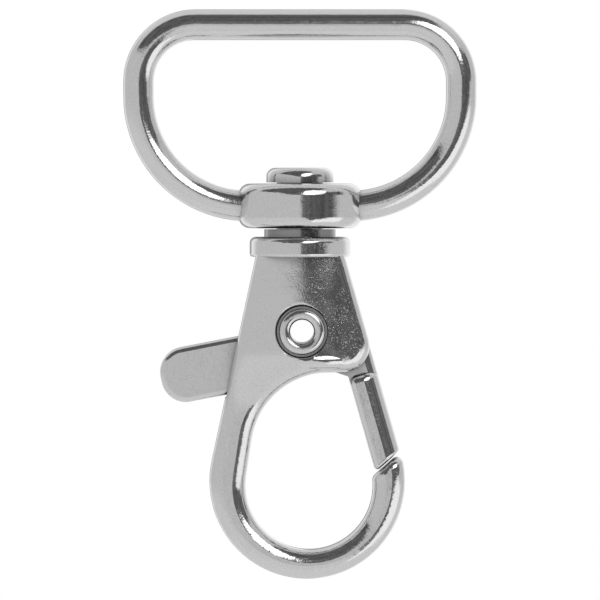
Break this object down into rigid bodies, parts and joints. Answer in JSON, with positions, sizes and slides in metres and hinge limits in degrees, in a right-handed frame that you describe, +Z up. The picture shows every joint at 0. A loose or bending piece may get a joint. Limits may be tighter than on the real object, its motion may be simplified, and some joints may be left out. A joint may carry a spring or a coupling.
{
  "type": "lanyard hook",
  "caption": "Swivel lanyard hook with a D-shaped strap ring, a riveted swivel post, a rounded hook body and a sprung gate worked by a thumb tab.",
  "frame": {"origin": "middle of the strap bar's axis, from which the hook hangs", "axes": "+Z up along the swivel axis, +X along the strap bar towards the gate's side, -Y the front"},
  "size_m": [0.0242, 0.0072, 0.0389],
  "materials": {
    "cast_nickel": "polished nickel plate on die-cast zinc",
    "rivet_nickel": "nickel-plated hollow rivet with rolled ends",
    "spring_steel": "bright drawn spring wire"
  },
  "bodies": {
    "strap_ring": {"strap_ring": "cast_nickel"},
    "hook": {"hook_body": "cast_nickel", "pivot_rivet": "rivet_nickel", "torsion_spring": "spring_steel"},
    "gate": {"gate_lever": "cast_nickel"}
  },
  "joints": [
    {"name": "swivel", "type": "hinge", "parent": "strap_ring", "child": "hook", "pos_m": [0, 0, -0.0124], "axis": [0, 0, 1], "continuous": true},
    {"name": "gate_pivot", "type": "hinge", "parent": "hook", "child": "gate", "pos_m": [0.00014, 0, -0.02098], "axis": [0, 1, 0], "range_deg": [0, 30], "stiffness_Nm_per_rad": 0.02, "springref_deg": -45.84, "deforming": ["torsion_spring"]}
  ]
}
